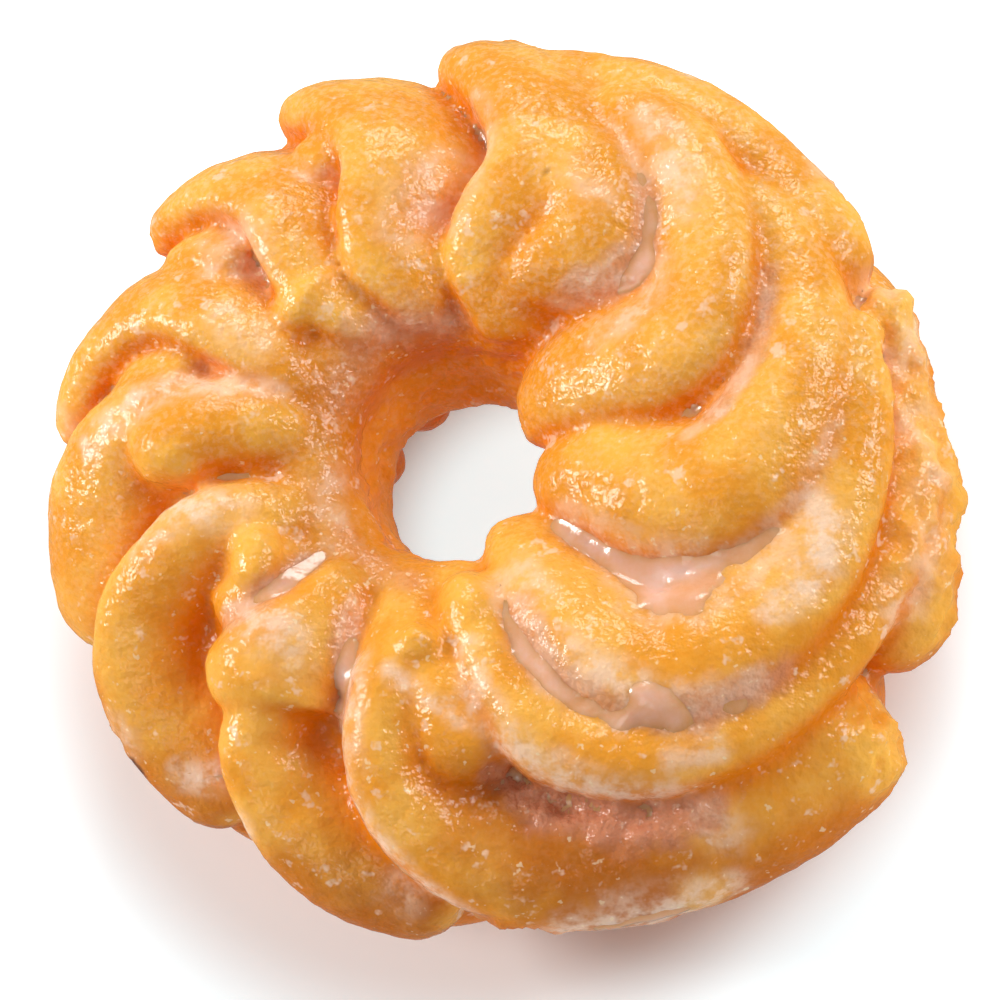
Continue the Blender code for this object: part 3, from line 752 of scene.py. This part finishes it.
def colour(label, use, code):
    """A colour that a user can change, with its sRGB hex code."""
    return FloatVectorProperty(name=label, description=use, subtype="COLOR", size=3, min=0, max=1,
                               default=hex_colour(code))


class CrullerDough(bpy.types.PropertyGroup):
    voxel: length("Skin fineness", "Side of the small cubes that the dough's skin is made from",
                  0.57 * MM, min=0.4 * MM, max=3 * MM)
    lump_height: length("Lump height", "How far broad lumps stand out of the flutes", 0.22 * MM)
    blister_height: length("Blister height", "How far the small blisters of the crust stand out",
                           0.10 * MM)
    torn_height: length("Torn dough height", "How rough the dough is where it tore", 1.0 * MM)


class CrullerGlaze(bpy.types.PropertyGroup):
    level_rounds: IntProperty(
        name="Level rounds", default=70, min=1, max=400,
        description="How many times the skin is smoothed to find the glaze's level")
    level: length("Level", "How far the glaze lies above that level", -0.5 * MM)
    sunk: length("Sunk depth", "How far below the crust the edges of the glaze end", 0.3 * MM)


class CrullerColours(bpy.types.PropertyGroup):
    crust_light: colour("Light crust", "Broad clouds that fried least", "#f7b24a")
    crust_gold: colour("Golden crust", "Most of the crust", "#ee9c2e")
    crust_mottle: colour("Mottled crust", "Small darker spots of the crust", "#e68a20")
    # Painted shade: the colour of the crevices and of the sides turned away from the light.
    painted_shade_crust: colour("Sheltered crust", "Dough down in the crevices", "#e37c0c")
    # Painted shadow: the colour low down, under overhangs and deepest in the crevices.
    painted_shadow_crust: colour("Browned crust", "Dough low on the flutes, fried darker", "#b4580c")
    crust_nub: colour("Nub crust", "Nubs that fried paler and yellower", "#ffc050")
    steeped: colour("Steeped dough", "Dough that glaze soaked into", "#d68c68")
    scorched: colour("Scorched dough", "Small burnt marks", "#6e3517")
    # Also the colour of painted highlights on the lit slopes and painted sheen on the far top.
    whitish_glaze_and_highlight: colour("Dried glaze", "Films of sugar on the crust", "#ffe0c8")
    sugar_speck: colour("Sugar speck", "Small blobs of sugar all over the crust", "#ffe6bc")
    glaze_thin: colour("Thin glaze", "Glaze so thin that the dough shows through", "#e39b56")
    glaze_thick: colour("Thick glaze", "Glaze that ran together", "#f3cdc0")
    table: colour("Table", "The surface under the cruller", "#f6f5f4")


class CrullerStage(bpy.types.PropertyGroup):
    table_side: length("Table side", "Length of the table's sides", 3.0)
    camera_height_angle: angle("Camera height angle", "Angle of the camera above the table", 67)
    camera_bearing: angle("Camera bearing", "Direction of the camera, from +X towards +Y", -50)
    camera_distance: length("Camera distance", "From the camera to the cruller", 0.45)
    lens: FloatProperty(name="Lens", description="Focal length of the camera in mm", default=173.3,
                        unit="CAMERA")
    left_power: power("on the left", 1.95)
    right_power: power("on the right", 1.2)
    back_power: power("behind", 0.95)
    front_power: power("in front", 0.22)
    box_side: length("Soft box side", "Length of the soft boxes' sides", 0.2)
    sky: FloatProperty(name="Room light", description="Strength of the light from all round",
                       default=0.28)


# ---------------------------------------------------------------- building the pieces


def shown_piece(name, mesh, material):
    """Shows the mesh as a smooth piece that rides the one body."""
    piece = bpy.data.objects.new(name, mesh)
    bpy.context.scene.collection.objects.link(piece)
    mesh.materials.clear()
    mesh.materials.append(material)
    for polygon in mesh.polygons:
        polygon.use_smooth = True
    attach(piece, "root")
    return piece


def without_crumbs(faces, fewest):
    """The faces that hang together in islands of at least that many."""
    labels = np.arange(faces.max() + 1)
    settled = False
    while not settled:
        lowest = labels[faces].min(axis=1)
        lowered = labels.copy()
        for corners in faces.T:
            np.minimum.at(lowered, corners, lowest)
        lowered = lowered[lowered]
        settled = np.array_equal(lowered, labels)
        labels = lowered
    islands = labels[faces[:, 0]]
    return faces[np.bincount(islands)[islands] >= fewest]


def part_of_skin(name, mesh, points, kept, attributes):
    """A new mesh of the faces with at least one corner that is kept, without small crumbs."""
    faces = read(mesh.polygons, "vertices", 4, int)
    faces = without_crumbs(faces[kept[faces].any(axis=1)], FEWEST_FACES)
    used, numbered = np.unique(faces, return_inverse=True)
    made = bpy.data.meshes.new(name)
    made.from_pydata(points[used].tolist(), [], numbered.reshape(faces.shape).tolist())
    made.update()
    for attribute, values in attributes.items():
        write_attribute(made, attribute, values[used])
    return made


def glaze_skin(name, dough, paths, rounds, level, sunk):
    """A sheet of glaze over the dough along the paths, whose edges end below the crust. It lies
    where the skin comes to after that many rounds of smoothing."""
    mesh = dough.data
    points, normals, edges = read_skin(mesh)
    smoothed = spread(points, edges, rounds)
    share, height = near_paths(points, paths)
    ragged = share + 0.45 * noise_at(points, 2.2, 3, 7.0)
    height = height * (1 + noise_at(points, 3.0, 2, 15.0))

    # The sheet drops where its path ends, and further beyond it, so that it stays under the
    # crust even in a deep crevice.
    inside = 1 - ease(ragged, 0.55, 1.15)
    beyond = ease(ragged, 1.0, 1.8)
    lift = (height * MM + level) * inside - 4 * sunk * (1 - inside) - 3 * MM * beyond
    raised = smoothed + normals * lift[:, None]
    above = ((raised - points) * normals).sum(axis=1)

    # Where it is hidden it follows close under the crust, so that it doesn't cut across a fold.
    raised = spread(raised + normals * np.maximum(-sunk - above, 0)[:, None], edges, 3)
    above = ((raised - points) * normals).sum(axis=1)
    return part_of_skin(name, mesh, raised, above > -0.5 * sunk, {"depth": above / MM})


def mark_crust(mesh, points, normals, hollow, ragged):
    """Stores how strongly each look of the crust shows: painted shade in the crevices and on the
    sides turned away from the light, a fine sugar bloom with a painted sheen on the far top,
    painted shadow low down, under overhangs and deepest in, and the rest along their paths, where
    the whitish sugar also paints highlights on the lit slopes."""
    turned_away = 1 - normals @ unit(np.array(PAINTED_LIGHT_DIRECTION))
    far_top = ease(points[:, 1] / MM, -20, 12) * ease(normals[:, 2], 0.0, 0.7)
    deepest = 0.55 * ease(hollow, 0.7, 2.0)
    round_pools = 0.5 * (1 - ease(near_paths(points, POOLS)[0] + ragged, 0.6, 1.25))
    for name, strength in {
            # Painted shade: deep in the crevices and on the sides turned away from the light.
            "sheltered": ease(hollow + 1.2 * turned_away, -0.1, 1.35),
            # A fine haze all over, with a painted sheen on the tops of the far side.
            "hazy": 0.03 + 0.15 * far_top,
            # Painted shadow: the patches low down and round the hole, and the deepest crevices.
            "browned": np.maximum(patch(points, PAINTED_SHADOWS, ragged, 0.8), deepest),
            "paler": ease(noise_at(points, 8.0, 3, 9.0), -0.35, 0.35),
            # Films of dried glaze, which on the lit slopes are painted highlights.
            "film": np.maximum(patch(points, PALE_SUGAR_AND_HIGHLIGHTS, ragged, 0.8), round_pools),
            "nub": patch(points, NUBS, 0.5 * ragged, 0.5),
            "steeped": patch(points, STEEPED, 1.6 * ragged, 0.6),
            "scorched": patch(points, SCORCHED, 0.6 * ragged, 0.3)}.items():
        write_attribute(mesh, name, strength)


class CRULLER_OT_fry_dough(bpy.types.Operator):
    """Builds the fried ring of dough with its flutes, blisters and torn places"""

    bl_idname = "cruller.fry_dough"
    bl_label = "Fry the dough"

    def execute(self, context):
        sizes = context.scene.cruller_dough
        mesh = one_skin(sizes.voxel)
        points, normals, edges = read_skin(mesh)
        hollow = ((spread(points, edges, HOLLOW_ROUNDS) - points) * normals).sum(axis=1) / MM
        ragged = 0.35 * noise_at(points, 2.2, 3, 3.0)
        torn = patch(points, TORN, ragged)
        rise = (sizes.lump_height * noise_at(points, 6.0, 2)
                + sizes.blister_height * noise_at(points, 1.6, 3, 5.0)
                + sizes.torn_height * torn * noise_at(points, 2.0, 4, 11.0))
        moved = points + normals * rise[:, None]
        moved[:, 2] = np.maximum(moved[:, 2], 0)
        write_points(mesh, moved)
        mark_crust(mesh, points, normals, hollow, ragged)
        dough = shown_piece("dough", mesh, fried_choux_crust(context.scene.cruller_colours))
        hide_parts("cruller")
        return {"FINISHED"}


class CRULLER_OT_pour_glaze(bpy.types.Operator):
    """Pours the glaze that ran together in the crevices and along the edges of the flutes"""

    bl_idname = "cruller.pour_glaze"
    bl_label = "Pour the glaze"

    def execute(self, context):
        settings = context.scene.cruller_glaze
        dough = bpy.data.objects["dough"]
        glaze = set_sugar_glaze(context.scene.cruller_colours)
        for name, paths, rounds, level in (
                ("glaze_pools", POOLS, settings.level_rounds, settings.level),
                ("glaze_runs", RUNS, RUN_ROUNDS, 0.0)):
            sheet = glaze_skin(name, dough, paths, rounds, level, settings.sunk)
            shown_piece(name, sheet, glaze)
        return {"FINISHED"}


def light_room(stage):
    """Sets the light from all round and the soft boxes."""
    world = bpy.data.worlds.new("room")
    world.use_nodes = True
    background = world.node_tree.nodes["Background"]
    background.inputs["Color"].default_value = (1, 1, 1, 1)
    background.inputs["Strength"].default_value = stage.sky
    bpy.context.scene.world = world
    for side, place in SOFT_BOXES.items():
        light = bpy.data.lights.new(f"{side}_soft_box", "AREA")
        light.size = stage.box_side
        light.energy = getattr(stage, f"{side}_power")
        lamp = bpy.data.objects.new(f"{side}_soft_box", light)
        bpy.context.scene.collection.objects.link(lamp)
        lamp.location = place
        aim = DOUGH_MIDDLE - Vector(place)
        lamp.rotation_euler = aim.to_track_quat("-Z", "Y").to_euler()


def set_camera(stage):
    """Sets the camera at its height angle and bearing, with +Y straight up in its view."""
    rise = stage.camera_height_angle
    bearing = stage.camera_bearing
    back = Vector((math.cos(rise) * math.cos(bearing), math.cos(rise) * math.sin(bearing),
                   math.sin(rise)))
    right = Vector((0, 1, 0)).cross(back).normalized()
    up = back.cross(right)
    camera = bpy.data.cameras.new("camera")
    camera.sensor_width = 36
    camera.lens = stage.lens
    camera.shift_y = CAMERA_SHIFT
    camera.clip_start = 0.01
    viewer = bpy.data.objects.new("camera", camera)
    bpy.context.scene.collection.objects.link(viewer)
    turned = Matrix((right, up, back)).transposed().to_4x4()
    turned.translation = CAMERA_AIM + back * stage.camera_distance
    viewer.matrix_world = turned
    bpy.context.scene.camera = viewer


class CRULLER_OT_set_stage(bpy.types.Operator):
    """Lays the table and sets up the lights and the camera"""

    bl_idname = "cruller.set_stage"
    bl_label = "Set the stage"

    def execute(self, context):
        stage = context.scene.cruller_stage
        bpy.ops.mesh.primitive_plane_add(size=stage.table_side)
        table = context.object
        table.name = "table"
        table.data.materials.append(glowing_table(context.scene.cruller_colours))
        # The sheet's own light isn't mirrored in the wet glaze, which would pale the low dough.
        table.visible_glossy = False
        light_room(stage)
        set_camera(stage)
        context.scene.view_settings.view_transform = "Standard"
        return {"FINISHED"}


class CRULLER_PT_sidebar(bpy.types.Panel):
    bl_idname = "CRULLER_PT_sidebar"
    bl_label = "Glazed French cruller"
    bl_space_type = "VIEW_3D"
    bl_region_type = "UI"
    bl_category = "Cruller"

    def draw(self, context):
        layout = self.layout
        for heading, group, operator in (
                ("Dough", context.scene.cruller_dough, "cruller.fry_dough"),
                ("Glaze", context.scene.cruller_glaze, "cruller.pour_glaze"),
                ("Colours", context.scene.cruller_colours, None),
                ("Stage", context.scene.cruller_stage, "cruller.set_stage")):
            box = layout.box()
            box.label(text=heading)
            for name in group.bl_rna.properties.keys():
                if name not in ("rna_type", "name"):
                    box.prop(group, name)
            if operator:
                box.operator(operator)


CLASSES = (CrullerDough, CrullerGlaze, CrullerColours, CrullerStage, CRULLER_OT_fry_dough,
           CRULLER_OT_pour_glaze, CRULLER_OT_set_stage, CRULLER_PT_sidebar)
GROUPS = {"cruller_dough": CrullerDough, "cruller_glaze": CrullerGlaze,
          "cruller_colours": CrullerColours, "cruller_stage": CrullerStage}


def register():
    for made in CLASSES:
        bpy.utils.register_class(made)
    for name, group in GROUPS.items():
        setattr(bpy.types.Scene, name, PointerProperty(type=group))


def unregister():
    for name in GROUPS:
        delattr(bpy.types.Scene, name)
    for made in reversed(CLASSES):
        bpy.utils.unregister_class(made)


def main():
    register()
    bpy.ops.cruller.fry_dough()
    bpy.ops.cruller.pour_glaze()
    bpy.ops.cruller.set_stage()


if __name__ == "__main__":
    main()
